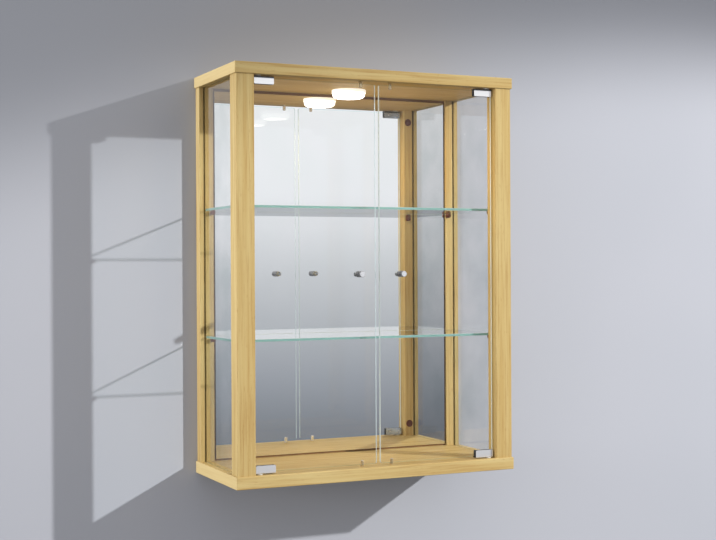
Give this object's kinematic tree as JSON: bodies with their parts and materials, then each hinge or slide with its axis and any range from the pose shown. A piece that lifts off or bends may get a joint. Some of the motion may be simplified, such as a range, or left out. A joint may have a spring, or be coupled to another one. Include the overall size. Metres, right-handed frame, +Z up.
{
  "type": "wall display cabinet",
  "caption": "Wall-hung display cabinet: light wood posts between two boards, glass sides and shelves, mirror back, frameless glass doors on corner pivots, and a small lamp under the top.",
  "frame": {"origin": "on the wall plane, midway between the two keyholes in the rear posts", "axes": "+X to the right as seen from the room, +Y into the wall, +Z up"},
  "size_m": [0.6, 0.256, 0.8],
  "materials": {
    "beech": "clear satin lacquer",
    "side_glass": "polished float glass",
    "shelf_glass": "polished float glass, ground edges",
    "door_glass": "polished float glass, ground edges",
    "mirror": "silvered",
    "hardboard": "smooth, unpainted",
    "brown_plastic": "moulded",
    "dowel_wood": "bare",
    "zinc": "die-cast, bright",
    "steel": "zinc plated",
    "chrome": "polished",
    "bush_plastic": "moulded",
    "liner_rubber": "matt",
    "washer_plastic": "clear",
    "lamp_plastic": "white",
    "lamp_opal": "opal white",
    "circuit_board": "white solder mask",
    "led": "yellow phosphor"
  },
  "bodies": {
    "cabinet": {"top_panel": "beech", "base_panel": "beech", "front_left_post": "beech", "front_right_post": "beech", "rear_left_post": "beech", "rear_right_post": "beech", "left_side_glass": "side_glass", "right_side_glass": "side_glass", "upper_shelf": "shelf_glass", "lower_shelf": "shelf_glass", "mirror_pane": "mirror", "back_board": "hardboard", "upper_shelf_supports": "brown_plastic", "lower_shelf_supports": "brown_plastic", "cam_caps": "brown_plastic", "dowels": "dowel_wood", "cam_housings": "zinc", "cam_bolts": "steel", "hanger_plates": "steel", "hanger_screws": "steel", "lamp_screws": "steel", "door_stops": "chrome", "hinge_bushes": "bush_plastic", "lamp_base": "lamp_plastic", "lamp_lens": "lamp_opal", "lamp_board": "circuit_board", "lamp_leds": "led"},
    "left_door": {"left_door_glass": "door_glass", "left_hinge_clamps": "chrome", "left_clamp_liners": "liner_rubber", "left_clamp_screws": "steel", "left_hinge_pins": "steel", "left_knob": "chrome", "left_knob_washers": "washer_plastic", "left_knob_screw": "steel"},
    "right_door": {"right_door_glass": "door_glass", "right_hinge_clamps": "chrome", "right_clamp_liners": "liner_rubber", "right_clamp_screws": "steel", "right_hinge_pins": "steel", "right_knob": "chrome", "right_knob_washers": "washer_plastic", "right_knob_screw": "steel"}
  },
  "joints": [
    {"name": "left_door_hinge", "type": "hinge", "parent": "cabinet", "child": "left_door", "pos_m": [-0.249, -0.2275, -0.304], "axis": [0, 0, -1], "range_deg": [0, 105]},
    {"name": "right_door_hinge", "type": "hinge", "parent": "cabinet", "child": "right_door", "pos_m": [0.249, -0.2275, -0.304], "axis": [0, 0, 1], "range_deg": [0, 105]}
  ]
}
